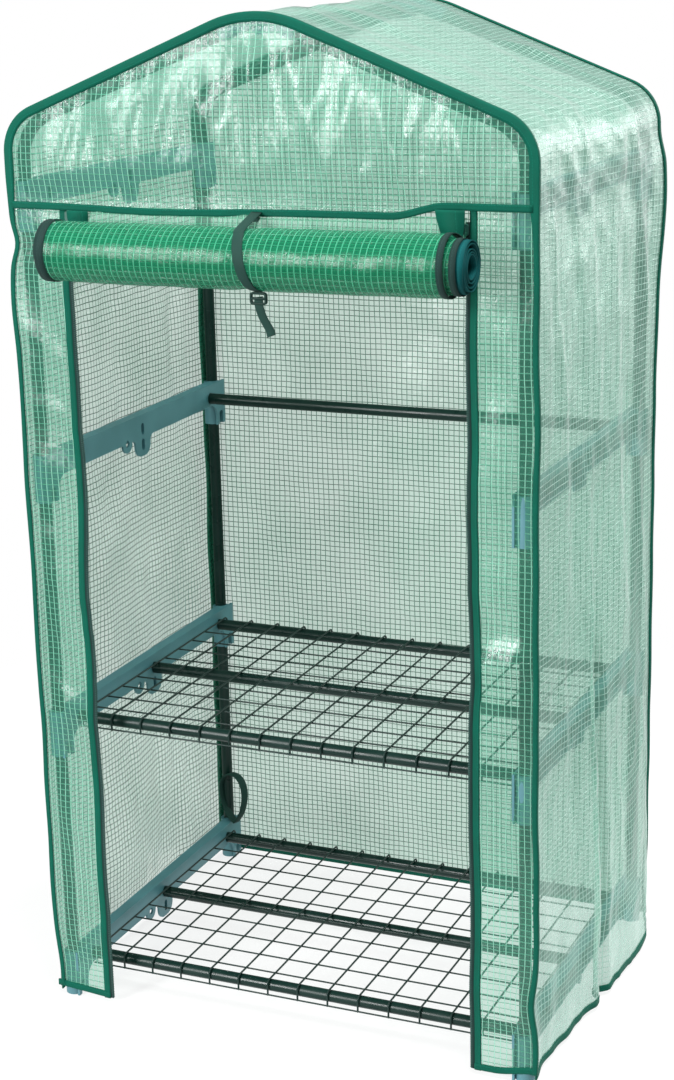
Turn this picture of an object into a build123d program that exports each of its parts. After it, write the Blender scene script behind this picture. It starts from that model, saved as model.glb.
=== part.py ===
"""Mini greenhouse: a tube and plastic-bracket frame, two wire shelves and a zipped mesh cover.

The model's frame: +Z up, front (the door side) towards -Y, +X to the right seen from the front.
The origin is on the floor, at the bottom centre of the whole object's box. Lengths in mm.
"""
from build123d import *
from math import cos, radians, sin, tan
import os

os.makedirs("parts", exist_ok=True)

# ---------------------------------------------------------------- driving dimensions
POST_HALF_SPAN = 325.0        # post axes, left and right of the centre
POST_HALF_DEPTH = 242.0       # post axes, in front of and behind the frame's middle
LEVEL_PITCH = 348.0           # from one bracket level to the next
LEVEL_COUNT = 4
BAR_INSET = 34.0              # front and back bars, inboard of the posts
TUBE_R = 8.0
TUBE_WALL = 0.6
ROOF_SLOPE = 21.75            # degrees
ROOF_BEND = 55.0              # centreline radius of the roof tubes at the eave
ROOF_APEX_Z = 1301.0          # where the centrelines of two roof tubes would meet

SLEEVE_R = 12.5               # moulded sockets on the posts
SOCKET_CLEARANCE = 0.2
SLEEVE_BELOW = 44.0           # how far a socket reaches below and above the bar centre
SLEEVE_ABOVE = 18.0
STOP_LOW = -14.0              # web between the lower and the upper tube, from the bar centre
STOP_HIGH = -11.0
BAND_LOW = -12.0              # the bracket's flat band, from the bar centre
BAND_HIGH = 20.0
PLATE_X = 311.5               # inner face of the band
PLATE_T = 3.0
FLANGE_T = 2.5
FLANGE_OUT = 13.0
RIB_COUNT = 8
RIB_PITCH = 52.0
SLOT_W = 8.0                  # keyhole slots that the bars' end tabs hook into
SLOT_H = 16.4
POCKET_OUT = 8.0              # closed pocket behind each slot
POCKET_WALL = 1.5
LOBE_W = 42.0                 # lobe below the band's middle, with a second slot
LOBE_LOW = -38.0
LOBE_SLOT_Z = -22.0
EYE_OFFSET = 44.0             # half-round eye beside the lobe
EYE_R = 13.0
EYE_HOLE_R = 5.0
FOOT_FILLET = 20.0
LOBE_TOP_FILLET = 9.0
LOBE_LOW_FILLET = 16.0
ARCH_W = 11.0                 # arched window in the foot of each socket
ARCH_H = 20.0

APEX_SLEEVE_R = 10.0
APEX_ARM = 52.0
APEX_STOP = 21.0              # roof tubes' ends, along the slope from the apex
APEX_FLAT_Z = 1302.3
RIDGE_Z = 1290.0
RIDGE_STOP = 14.0             # ridge bar's ends, inboard of the roof tubes

TAB_T = 3.0                   # tabs on the ends of the horizontal bars
TAB_H = 15.0
TAB_OUT = 8.0
TAB_IN = 12.0

COVER_HALF_WIDTH = 343.5      # outer face of the side walls
COVER_HALF_DEPTH = 256.0      # outer face of the front and back panels, from the frame's middle
COVER_PEAK_Z = 1318.0         # where the two roof planes would meet
COVER_T = 1.5
COVER_LOW_Z = 6.0
EAVE_RADIUS = 60.0
PEAK_RADIUS = 157.0
HEADER_Z = 1080.0             # seam between the front gable and the door
BINDING_W = 12.0
BINDING_T = 2.5
DOOR_HALF_WIDTH = 262.0       # inner edge of the front strips, where the zip tape is sewn on
ZIP_TAPE_W = 7.0

ROLL_R = 40.0                 # the door rolled up
ROLL_HALF_LENGTH = 264.0
ROLL_X = 6.0                  # the roll sits a little to the right
ROLL_Z = 1029.0
ROLL_GAP = 8.0                # room between the bindings and the roll for the zip sliders
ROLL_CORE_R = 8.0
ROLL_TURNS = 7
ROLL_SHEET_T = 0.4
HANG_GAP_TOP = 0.2            # between the bindings and the door where it hangs down to the roll
HANG_GAP_LOW = 5.2
HANG_T = 1.0
HANG_BELOW = 12.0             # how far its lower end stays above the roll's axis
HANG_OVERLAP = 2.0            # how far its upper end reaches over the header binding

TIE_X = 8.0                   # webbing tie round the middle of the roll
TIE_CLEARANCE = 0.5
TIE_T = 1.2
TIE_W = 14.0
TIE_TAIL = 50.0
TIE_JOIN = (44, 49)           # degrees round the roll where the stretch from the seam meets the loop
BUCKLE_BORDER = 3.5           # buckle frame around the webbing
BUCKLE_DEPTH = 7.0
BUCKLE_H = 11.0
BUCKLE_GAP = 0.8

SLIDER_H = 13.0               # zip slider body, pull tab and the slot that clasps the tape
SLIDER_PAST_TAPE = 4.5
SLIDER_INSET = 0.5
SLIDER_PROUD_FRONT = 4.4
SLIDER_PROUD_BACK = 3.5
SLIDER_SLOT_PLAY = 0.4
PULL_T = 1.4
PULL_W = 6.0
PULL_H = 28.0
PULL_DROP = 3.0               # from the slider's top to the pull tab's top
PULL_HOLE_R = 1.6

SHELF_WIRE_R = 1.3            # front-to-back wires
LONG_WIRE_R = 1.1
SHELF_PITCH_X = 43.3
SHELF_PITCH_Y = 42.0
SHELF_GAP = 0.3               # over the bars
WIRE_BEND = 6.0
WELD_BITE = 0.5               # how deep crossing wires sink into each other
WIRES_PER_SIDE = 7            # front-to-back wires on each side of the middle one
WIRE_OVERHANG = 3.0           # long wires, past the outermost wires
LIP_BELOW = 11.0              # ends of the front lip and the back hook, under the bar centre
HOOK_BELOW = 3.0
LIP_WIRE_RISE = 2.0

STRAP_HALF_W = 23.0           # webbing loop round the foot of the back left post
STRAP_HALF_D = 15.2
STRAP_SHIFT_X = 7.0
STRAP_SHIFT_Y = -4.0
STRAP_ABOVE_SOCKET = 3.0
STRAP_HIGH_Z = 142.0
STRAP_RIBBON_H = 22.0

# ---------------------------------------------------------------- places worked out from them
FRONT_REACH = COVER_HALF_DEPTH + BINDING_T + ROLL_GAP + 2 * ROLL_R + TIE_CLEARANCE + TIE_T
BACK_REACH = COVER_HALF_DEPTH + BINDING_T
MID_Y = (FRONT_REACH - BACK_REACH) / 2       # the frame's middle lies behind the origin
FRONT_BAR_Y = MID_Y - POST_HALF_DEPTH + BAR_INSET
BACK_BAR_Y = MID_Y + POST_HALF_DEPTH - BAR_INSET
BACK_POST_Y = MID_Y + POST_HALF_DEPTH
FRONT_PANEL_Y = MID_Y - COVER_HALF_DEPTH     # outer faces of the front and back panels
BACK_PANEL_Y = MID_Y + COVER_HALF_DEPTH
ROLL_Y = FRONT_PANEL_Y - BINDING_T - ROLL_GAP - ROLL_R
LEVELS = [SLEEVE_BELOW + LEVEL_PITCH * i for i in range(LEVEL_COUNT)]
BORE_R = TUBE_R + SOCKET_CLEARANCE
SLOPE_RISE = tan(radians(ROOF_SLOPE))
EAVE_Z = COVER_PEAK_Z - COVER_HALF_WIDTH * SLOPE_RISE
WALL_TOP_Z = EAVE_Z - EAVE_RADIUS * tan(radians((90 - ROOF_SLOPE) / 2))

SIDES = {"left": -1, "right": 1}
DEPTHS = {"front": -1, "back": 1}


def save(piece, name):
    """Label one finished piece and write it."""
    piece.part.label = name
    export_step(piece.part, f"parts/{name}.step")


def facing_x(x, y=0.0, z=0.0):
    """Plane that faces +X, with +Y across and +Z up."""
    return Plane((x, y, z), x_dir=(0, 1, 0), z_dir=(1, 0, 0))


def facing_front(y):
    """Plane that faces -Y, with +X across and +Z up: an extrusion goes towards the front."""
    return Plane((0, y, 0), x_dir=(1, 0, 0), z_dir=(0, -1, 0))


def tube_section(radius=TUBE_R):
    Circle(radius)
    Circle(radius - TUBE_WALL, mode=Mode.SUBTRACT)


# ---------------------------------------------------------------- posts and roof tubes
def post_tubes(side, depth):
    """Three identical straight tubes, end to end in the sockets of one corner."""
    with BuildPart() as tubes:
        for level in LEVELS[:-1]:
            with BuildSketch(Plane.XY.offset(level + STOP_HIGH)):
                with Locations((side * POST_HALF_SPAN, MID_Y + depth * POST_HALF_DEPTH)):
                    tube_section()
            extrude(amount=LEVEL_PITCH + STOP_LOW - STOP_HIGH)
    return tubes


def roof_tube(side, depth):
    """Bent tube from the top bracket's socket, round the eave and up to the ridge."""
    post_x = side * POST_HALF_SPAN
    post_y = MID_Y + depth * POST_HALF_DEPTH
    foot_z = LEVELS[-1] + STOP_HIGH
    end_x = APEX_STOP * cos(radians(ROOF_SLOPE))
    eave = (post_x, post_y, ROOF_APEX_Z - POST_HALF_SPAN * SLOPE_RISE)
    end = (side * end_x, post_y, ROOF_APEX_Z - end_x * SLOPE_RISE)
    with BuildPart() as tube:
        with BuildLine():
            FilletPolyline((post_x, post_y, foot_z), eave, end, radius=ROOF_BEND)
        with BuildSketch(Plane((post_x, post_y, foot_z))):
            tube_section()
        sweep()
    return tube


def ridge_bar():
    """Straight tube between the two apex connectors."""
    half_length = POST_HALF_DEPTH - RIDGE_STOP
    with BuildPart() as bar:
        with BuildSketch(facing_front(MID_Y + half_length)):
            with Locations((0, RIDGE_Z)):
                tube_section()
        extrude(amount=2 * half_length)
    return bar


def apex_connector(depth):
    """Three-way moulding: two sloping sockets for the roof tubes and one for the ridge bar."""
    post_y = MID_Y + depth * POST_HALF_DEPTH
    slope = radians(ROOF_SLOPE)
    with BuildPart() as apex:
        for side in SIDES.values():
            with BuildSketch(Plane((0, post_y, ROOF_APEX_Z), z_dir=(side * cos(slope), 0, -sin(slope)))):
                Circle(APEX_SLEEVE_R)
            extrude(amount=APEX_ARM)
        with BuildSketch(Plane((0, post_y, RIDGE_Z), z_dir=(0, -depth, 0))):
            Circle(APEX_SLEEVE_R)
        extrude(amount=APEX_ARM)
        with BuildSketch(Plane.XY.offset(APEX_FLAT_Z)):
            with Locations((0, post_y)):
                Rectangle(APEX_ARM, APEX_ARM)
        extrude(amount=APEX_SLEEVE_R, mode=Mode.SUBTRACT)
        for side in SIDES.values():
            run = (side * cos(slope), 0, -sin(slope))
            start = (run[0] * APEX_STOP, post_y, ROOF_APEX_Z + run[2] * APEX_STOP)
            with BuildSketch(Plane(start, z_dir=run)):
                Circle(BORE_R)
            extrude(amount=APEX_ARM, mode=Mode.SUBTRACT)
        with BuildSketch(Plane((0, post_y - depth * RIDGE_STOP, RIDGE_Z), z_dir=(0, -depth, 0))):
            Circle(BORE_R)
        extrude(amount=APEX_ARM, mode=Mode.SUBTRACT)
    return apex


# ---------------------------------------------------------------- side brackets
def at_height(shape, x, y):
    """Corners of a sketch at a given height whose distance from the middle is x."""
    return shape.vertices().filter_by(lambda v: abs(v.Y - y) < 0.01 and abs(abs(v.X) - x) < 0.01)


def slot_places():
    """Three slots in line with the bars, and one in the lobe."""
    places = [(y, 0) for y in (-POST_HALF_DEPTH + BAR_INSET, 0, POST_HALF_DEPTH - BAR_INSET)]
    return places + [(0, LOBE_SLOT_Z)]


def bracket_face():
    """Seen from inside: a band, a foot at each end, and a lobe and an eye under its middle."""
    foot_x = POST_HALF_DEPTH - SLEEVE_R
    with BuildSketch() as face:
        with Locations((0, (BAND_LOW + BAND_HIGH) / 2)):
            Rectangle(2 * (POST_HALF_DEPTH + SLEEVE_R), BAND_HIGH - BAND_LOW)
        with Locations((-POST_HALF_DEPTH, (BAND_LOW - SLEEVE_BELOW) / 2)):
            Rectangle(2 * SLEEVE_R, SLEEVE_BELOW + BAND_LOW)
        with Locations((POST_HALF_DEPTH, (BAND_LOW - SLEEVE_BELOW) / 2)):
            Rectangle(2 * SLEEVE_R, SLEEVE_BELOW + BAND_LOW)
        with Locations((0, (BAND_LOW + LOBE_LOW) / 2)):
            Rectangle(LOBE_W, BAND_LOW - LOBE_LOW)
        fillet(at_height(face, foot_x, BAND_LOW), radius=FOOT_FILLET)
        fillet(at_height(face, LOBE_W / 2, BAND_LOW), radius=LOBE_TOP_FILLET)
        fillet(at_height(face, LOBE_W / 2, LOBE_LOW), radius=LOBE_LOW_FILLET)
        with Locations((-EYE_OFFSET, BAND_LOW)):
            Circle(EYE_R)
            Circle(EYE_HOLE_R, mode=Mode.SUBTRACT)
        with Locations(*slot_places()):
            SlotOverall(SLOT_H, SLOT_W, rotation=90, mode=Mode.SUBTRACT)
    return face.sketch


def foot_arch():
    """Arched window in the inner side of each socket's foot."""
    straight = ARCH_H - ARCH_W / 2
    with BuildSketch() as arch:
        with Locations((-POST_HALF_DEPTH, 0), (POST_HALF_DEPTH, 0)):
            with Locations((0, straight / 2 - SLEEVE_BELOW)):
                Rectangle(ARCH_W, straight)
            with Locations((0, straight - SLEEVE_BELOW)):
                Circle(ARCH_W / 2)
    return arch.sketch


def side_bracket(side, level):
    """One moulding per side and level: a ribbed band with a tube socket at each end."""
    face = bracket_face()
    arch = foot_arch()
    with BuildPart() as bracket:
        with BuildSketch(facing_x(side * PLATE_X, MID_Y, level)):
            add(face)
        extrude(amount=side * PLATE_T)
        with BuildSketch(facing_x(side * (PLATE_X + PLATE_T), MID_Y, level)):
            with Locations((0, BAND_LOW + FLANGE_T / 2), (0, BAND_HIGH - FLANGE_T / 2)):
                Rectangle(2 * POST_HALF_DEPTH, FLANGE_T)
            with Locations((0, (BAND_LOW + BAND_HIGH) / 2)):
                with GridLocations(RIB_PITCH, 1, RIB_COUNT, 1):
                    Rectangle(FLANGE_T, BAND_HIGH - BAND_LOW - FLANGE_T)
        extrude(amount=side * FLANGE_OUT)
        with BuildSketch(facing_x(side * (PLATE_X + PLATE_T), MID_Y, level)):
            with Locations(*slot_places()):
                SlotOverall(SLOT_H + 2 * POCKET_WALL, SLOT_W + 2 * POCKET_WALL, rotation=90)
        extrude(amount=side * POCKET_OUT)
        with BuildSketch(facing_x(side * (PLATE_X + PLATE_T), MID_Y, level)):
            with Locations(*slot_places()):
                SlotOverall(SLOT_H, SLOT_W, rotation=90)
        extrude(amount=side * (POCKET_OUT - POCKET_WALL), mode=Mode.SUBTRACT)

        posts = [(side * POST_HALF_SPAN, MID_Y + end * POST_HALF_DEPTH) for end in DEPTHS.values()]
        with BuildSketch(Plane.XY.offset(level - SLEEVE_BELOW)):
            with Locations(*posts):
                Circle(SLEEVE_R)
        extrude(amount=SLEEVE_BELOW + SLEEVE_ABOVE)
        with BuildSketch(Plane.XY.offset(level - SLEEVE_BELOW)):
            with Locations(*posts):
                Circle(BORE_R)
        extrude(amount=SLEEVE_BELOW + STOP_LOW, mode=Mode.SUBTRACT)
        with BuildSketch(Plane.XY.offset(level + STOP_HIGH)):
            with Locations(*posts):
                Circle(BORE_R)
        extrude(amount=SLEEVE_BELOW, mode=Mode.SUBTRACT)
        with BuildSketch(facing_x(side * PLATE_X, MID_Y, level)):
            add(arch)
        extrude(amount=side * SLEEVE_R, mode=Mode.SUBTRACT)
    return bracket


# ---------------------------------------------------------------- horizontal bars
def horizontal_bar(bar_y, level):
    """Tube across the frame, with a flat tab at each end that hooks into the bracket's slot."""
    half_length = PLATE_X - 0.5
    with BuildPart() as bar:
        with BuildSketch(facing_x(-half_length, bar_y, level)):
            tube_section()
        extrude(amount=2 * half_length)
        for side in SIDES.values():
            with Locations((side * (half_length + (TAB_OUT - TAB_IN) / 2), bar_y, level)):
                Box(TAB_OUT + TAB_IN, TAB_T, TAB_H)
    return bar


# ---------------------------------------------------------------- wire shelves
def wire_shelf(level):
    """Welded grid: bent wires run front to back over the bars, long wires lie under them."""
    top_z = level + TUBE_R + SHELF_GAP + SHELF_WIRE_R
    reach = TUBE_R + SHELF_GAP + SHELF_WIRE_R
    lip_y = FRONT_BAR_Y - reach
    hook_y = BACK_BAR_Y + reach
    long_half = WIRES_PER_SIDE * SHELF_PITCH_X + WIRE_OVERHANG
    weld = SHELF_WIRE_R + LONG_WIRE_R - WELD_BITE
    long_wires = [(MID_Y + (i + 0.5) * SHELF_PITCH_Y, top_z - weld) for i in range(-5, 5)]
    lip_wire = (lip_y - weld, level - LIP_BELOW + LIP_WIRE_RISE)
    with BuildPart() as shelf:
        for i in range(-WIRES_PER_SIDE, WIRES_PER_SIDE + 1):
            x = i * SHELF_PITCH_X
            lip_end = (x, lip_y, level - LIP_BELOW)
            hook_end = (x, hook_y, level - HOOK_BELOW)
            with BuildLine():
                FilletPolyline(lip_end, (x, lip_y, top_z), (x, hook_y, top_z), hook_end, radius=WIRE_BEND)
            with BuildSketch(Plane(lip_end)):
                Circle(SHELF_WIRE_R)
            sweep()
        with BuildSketch(facing_x(-long_half)):
            with Locations(*long_wires, lip_wire):
                Circle(LONG_WIRE_R)
        extrude(amount=2 * long_half)
    return shelf


# ---------------------------------------------------------------- cover
def gable_outline(inset=0.0, low_z=COVER_LOW_Z):
    """The cover's outline seen from the front, moved inwards by inset, down to low_z."""
    half = COVER_HALF_WIDTH - inset
    peak = COVER_PEAK_Z - inset / cos(radians(ROOF_SLOPE))
    eave = peak - half * SLOPE_RISE
    with BuildSketch() as outline:
        with BuildLine():
            Polyline((-half, low_z), (-half, eave), (0, peak), (half, eave), (half, low_z), close=True)
        make_face()
        fillet(at_height(outline, 0, peak), radius=PEAK_RADIUS - inset)
        fillet(at_height(outline, half, eave), radius=EAVE_RADIUS - inset)
    return outline.sketch


def window(x_low, x_high, z_low, z_high):
    """Keep only what lies in this rectangle of the sketch being made."""
    with Locations(((x_low + x_high) / 2, (z_low + z_high) / 2)):
        Rectangle(x_high - x_low, z_high - z_low, mode=Mode.INTERSECT)


def wrap_panel(side, z_low, z_high):
    """Part of the sheet that goes up one side wall and over the roof to the ridge."""
    x_far = side * (COVER_HALF_WIDTH + 1)
    outer = gable_outline()
    inner = gable_outline(COVER_T, COVER_LOW_Z - 1)
    with BuildPart() as panel:
        with BuildSketch(facing_front(BACK_PANEL_Y - COVER_T)):
            add(outer)
            add(inner, mode=Mode.SUBTRACT)
            window(min(0, x_far), max(0, x_far), z_low, z_high)
        extrude(amount=2 * (COVER_HALF_DEPTH - COVER_T))
    return panel


def flat_panel(back_y, x_low, x_high, z_low, z_high):
    """Part of the front or back of the cover, cut to the gable outline."""
    outline = gable_outline()
    with BuildPart() as panel:
        with BuildSketch(facing_front(back_y)):
            add(outline)
            window(x_low, x_high, z_low, z_high)
        extrude(amount=COVER_T)
    return panel


def arch_binding(back_y):
    """Binding tape along the outline of the front or the back, down to both lower corners."""
    outer = gable_outline()
    inner = gable_outline(BINDING_W, COVER_LOW_Z - 1)
    with BuildPart() as binding:
        with BuildSketch(facing_front(back_y)):
            add(outer)
            add(inner, mode=Mode.SUBTRACT)
        extrude(amount=BINDING_T)
    return binding


def straight_binding(back_y, x_low, x_high, z_low, z_high):
    """Straight run of binding tape on the front or back."""
    with BuildPart() as binding:
        with BuildSketch(facing_front(back_y)):
            with Locations(((x_low + x_high) / 2, (z_low + z_high) / 2)):
                Rectangle(x_high - x_low, z_high - z_low)
        extrude(amount=BINDING_T)
    return binding


def door_edge_binding(side):
    """Binding of one front strip: down the door's edge, then along the bottom hem."""
    inner_x = side * DOOR_HALF_WIDTH
    turn_x = side * (DOOR_HALF_WIDTH + BINDING_W)
    outer_x = side * (COVER_HALF_WIDTH - BINDING_W)
    top_z = HEADER_Z - BINDING_W / 2
    hem_z = COVER_LOW_Z + BINDING_W
    with BuildPart() as binding:
        with BuildSketch(facing_front(FRONT_PANEL_Y)):
            with BuildLine():
                Polyline(
                    (inner_x, COVER_LOW_Z), (inner_x, top_z), (turn_x, top_z), (turn_x, hem_z),
                    (outer_x, hem_z), (outer_x, COVER_LOW_Z), close=True,
                )
            make_face()
        extrude(amount=BINDING_T)
    return binding


def side_hem(side):
    """Binding tape on the outside of a side wall's lower edge."""
    with BuildPart() as hem:
        with BuildSketch(facing_x(side * COVER_HALF_WIDTH, MID_Y, COVER_LOW_Z + BINDING_W / 2)):
            Rectangle(2 * (COVER_HALF_DEPTH - COVER_T), BINDING_W)
        extrude(amount=side * BINDING_T)
    return hem


def zip_tape(side):
    """Zip tape and teeth along the door's edge, in the plane of the front strips."""
    with BuildPart() as tape:
        with BuildSketch(facing_front(FRONT_PANEL_Y + COVER_T)):
            with Locations((side * (DOOR_HALF_WIDTH - ZIP_TAPE_W / 2), (HEADER_Z + COVER_LOW_Z) / 2)):
                Rectangle(ZIP_TAPE_W, HEADER_Z - COVER_LOW_Z)
        extrude(amount=COVER_T)
    return tape


def zip_slider(side):
    """Slider that clasps the zip tape, with a pull tab hanging in front."""
    tape_x = DOOR_HALF_WIDTH - ZIP_TAPE_W
    body_x = (tape_x - SLIDER_PAST_TAPE, DOOR_HALF_WIDTH - SLIDER_INSET)
    body_y = (FRONT_PANEL_Y - SLIDER_PROUD_FRONT, FRONT_PANEL_Y + COVER_T + SLIDER_PROUD_BACK)
    top_z = HEADER_Z - BINDING_W / 2 - HANG_OVERLAP
    slot_depth = body_x[1] - tape_x + SLIDER_SLOT_PLAY
    middle = (side * (body_x[0] + body_x[1]) / 2, (body_y[0] + body_y[1]) / 2, top_z - SLIDER_H / 2)
    slot = (side * (body_x[1] - slot_depth / 2), FRONT_PANEL_Y + COVER_T / 2, top_z - SLIDER_H / 2)
    with BuildPart() as slider:
        with Locations(middle):
            Box(body_x[1] - body_x[0], body_y[1] - body_y[0], SLIDER_H)
        fillet(slider.edges().filter_by(Axis.Y), radius=2.5)
        with Locations(slot):
            Box(slot_depth, COVER_T + 2 * SLIDER_SLOT_PLAY, SLIDER_H, mode=Mode.SUBTRACT)
        with BuildSketch(facing_front(body_y[0])):
            with Locations((middle[0], top_z - PULL_DROP - PULL_H / 2)):
                RectangleRounded(PULL_W, PULL_H, 2.5)
                with Locations((0, PULL_W - PULL_H / 2)):
                    Circle(PULL_HOLE_R, mode=Mode.SUBTRACT)
        extrude(amount=PULL_T)
    return slider


# ---------------------------------------------------------------- rolled door and its ties
def rolled_door():
    """The door wound into a loose roll: half-circle arcs that grow by the same step each time."""
    arc_count = 2 * ROLL_TURNS
    step = (ROLL_R - ROLL_SHEET_T / 2 - ROLL_CORE_R) / (arc_count - 0.5)
    half_t = ROLL_SHEET_T / 2
    first = -step / 2 + ROLL_CORE_R
    last = step / 2 + ROLL_CORE_R + step * (arc_count - 1)
    with BuildPart() as roll:
        with BuildSketch(facing_x(ROLL_X - ROLL_HALF_LENGTH, ROLL_Y, ROLL_Z)):
            with BuildLine():
                for i in range(arc_count):
                    centre = (-step / 2 if i % 2 == 0 else step / 2, 0)
                    for offset in (-half_t, half_t):
                        CenterArc(centre, ROLL_CORE_R + step * i + offset, 180 * (i % 2), 180)
                Line((first - half_t, 0), (first + half_t, 0))
                Line((last - half_t, 0), (last + half_t, 0))
            make_face()
        extrude(amount=2 * ROLL_HALF_LENGTH)
    return roll


def door_header():
    """Short stretch of the door that hangs between the header seam and the back of the roll."""
    high = (FRONT_PANEL_Y - BINDING_T - HANG_GAP_TOP, HEADER_Z - BINDING_W / 2 + HANG_OVERLAP)
    low = (FRONT_PANEL_Y - BINDING_T - HANG_GAP_LOW, ROLL_Z + HANG_BELOW)
    half_length = DOOR_HALF_WIDTH - 2 * ZIP_TAPE_W
    with BuildPart() as header:
        with BuildSketch(facing_x(-half_length)):
            with BuildLine():
                Polyline(high, low, (low[0] - HANG_T, low[1]), (high[0] - HANG_T, high[1]), close=True)
            make_face()
        extrude(amount=2 * half_length)
    return header


def roll_tie():
    """Webbing loop round the middle of the roll, sewn into the header seam, with a loose end."""
    inner_r = ROLL_R + TIE_CLEARANCE
    outer_r = inner_r + TIE_T
    middle_r = inner_r + TIE_T / 2
    seam = (FRONT_PANEL_Y - BINDING_T - ROLL_Y, HEADER_Z - ROLL_Z)
    joins = [(middle_r * cos(radians(a)), middle_r * sin(radians(a))) for a in TIE_JOIN]
    with BuildPart() as tie:
        with BuildSketch(facing_x(TIE_X - TIE_W / 2, ROLL_Y, ROLL_Z)):
            Circle(outer_r)
            with BuildLine():
                Polyline((seam[0], seam[1] + TIE_T), seam, *joins, close=True)
            make_face()
            Circle(inner_r, mode=Mode.SUBTRACT)
            with Locations((0, -outer_r - TIE_TAIL / 2 + TIE_T / 2)):
                Rectangle(TIE_T, TIE_TAIL + TIE_T)
        extrude(amount=TIE_W)
    return tie


def tie_buckle():
    """Slide buckle on the tie's loose end, just under the roll."""
    top_z = ROLL_Z - ROLL_R - TIE_CLEARANCE - TIE_T - BUCKLE_GAP
    with BuildPart() as buckle:
        with BuildSketch(Plane.XY.offset(top_z)):
            with Locations((TIE_X, ROLL_Y)):
                RectangleRounded(TIE_W + 2 * BUCKLE_BORDER, BUCKLE_DEPTH, 2)
                Rectangle(TIE_W + BUCKLE_GAP, TIE_T + BUCKLE_GAP, mode=Mode.SUBTRACT)
        extrude(amount=-BUCKLE_H)
    return buckle


# ---------------------------------------------------------------- strap inside the back corner
def corner_strap():
    """Webbing loop round the foot of the back left post: high behind the post, low in front of it."""
    centre_x = -POST_HALF_SPAN + STRAP_SHIFT_X
    centre_y = BACK_POST_Y + STRAP_SHIFT_Y
    low_z = LEVELS[0] + SLEEVE_ABOVE + STRAP_ABOVE_SOCKET
    front_y = centre_y - STRAP_HALF_D
    back_y = centre_y + STRAP_HALF_D
    with BuildPart() as strap:
        with BuildSketch(Plane.XY.offset(low_z)):
            with Locations((centre_x, centre_y)):
                Ellipse(STRAP_HALF_W, STRAP_HALF_D)
                Ellipse(STRAP_HALF_W - TIE_T, STRAP_HALF_D - TIE_T, mode=Mode.SUBTRACT)
        extrude(amount=STRAP_HIGH_Z - low_z)
        with BuildSketch(facing_x(centre_x)):
            with BuildLine():
                Polyline(
                    (front_y, low_z), (front_y, low_z + STRAP_RIBBON_H), (back_y, STRAP_HIGH_Z),
                    (back_y, STRAP_HIGH_Z - STRAP_RIBBON_H), close=True,
                )
            make_face()
        extrude(amount=STRAP_HALF_W, both=True, mode=Mode.INTERSECT)
    return strap


# ---------------------------------------------------------------- build and write every piece
for side_name, side in SIDES.items():
    for depth_name, depth in DEPTHS.items():
        save(post_tubes(side, depth), f"post_tubes_{depth_name}_{side_name}")
        save(roof_tube(side, depth), f"roof_tube_{depth_name}_{side_name}")
    for number, level in enumerate(LEVELS, start=1):
        save(side_bracket(side, level), f"bracket_{number}_{side_name}")
save(ridge_bar(), "ridge_bar")
for depth_name, depth in DEPTHS.items():
    save(apex_connector(depth), f"apex_connector_{depth_name}")

for shelf_name, level in zip(("lower", "upper"), LEVELS):
    save(wire_shelf(level), f"shelf_{shelf_name}")
    for bar_name, bar_y in (("front", FRONT_BAR_Y), ("middle", MID_Y), ("back", BACK_BAR_Y)):
        save(horizontal_bar(bar_y, level), f"bar_{shelf_name}_{bar_name}")
save(horizontal_bar(BACK_BAR_Y, LEVELS[2]), "bar_high_back")

front_inner_y = FRONT_PANEL_Y + COVER_T
above_z = COVER_PEAK_Z + 1
for side_name, side in SIDES.items():
    save(wrap_panel(side, COVER_LOW_Z, WALL_TOP_Z), f"cover_side_{side_name}")
    save(wrap_panel(side, WALL_TOP_Z, above_z), f"cover_roof_{side_name}")
    strip_x = sorted((side * DOOR_HALF_WIDTH, side * COVER_HALF_WIDTH))
    save(flat_panel(front_inner_y, *strip_x, COVER_LOW_Z, HEADER_Z), f"front_strip_{side_name}")
    save(door_edge_binding(side), f"door_edge_binding_{side_name}")
    save(side_hem(side), f"hem_{side_name}")
    save(zip_tape(side), f"zip_tape_{side_name}")
    save(zip_slider(side), f"zip_slider_{side_name}")
whole_width = (-COVER_HALF_WIDTH, COVER_HALF_WIDTH)
save(flat_panel(front_inner_y, *whole_width, HEADER_Z, above_z), "front_gable")
save(flat_panel(BACK_PANEL_Y, *whole_width, COVER_LOW_Z, above_z), "cover_back")
save(arch_binding(FRONT_PANEL_Y), "arch_binding_front")
save(arch_binding(BACK_PANEL_Y + BINDING_T), "arch_binding_back")
between_arches = COVER_HALF_WIDTH - BINDING_W
header_z = (HEADER_Z - BINDING_W / 2, HEADER_Z + BINDING_W / 2)
hem_z = (COVER_LOW_Z, COVER_LOW_Z + BINDING_W)
save(straight_binding(FRONT_PANEL_Y, -between_arches, between_arches, *header_z), "header_binding")
save(straight_binding(BACK_PANEL_Y + BINDING_T, -between_arches, between_arches, *hem_z), "hem_back")

save(rolled_door(), "door_roll")
save(door_header(), "door_header")
save(roll_tie(), "roll_tie")
save(tie_buckle(), "tie_buckle")
save(corner_strap(), "corner_strap")
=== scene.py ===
"""Looks of the mini greenhouse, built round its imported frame. Metres, +Z up, front towards -Y."""
import math

import bpy
from mathutils import Matrix, Vector, noise


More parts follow.
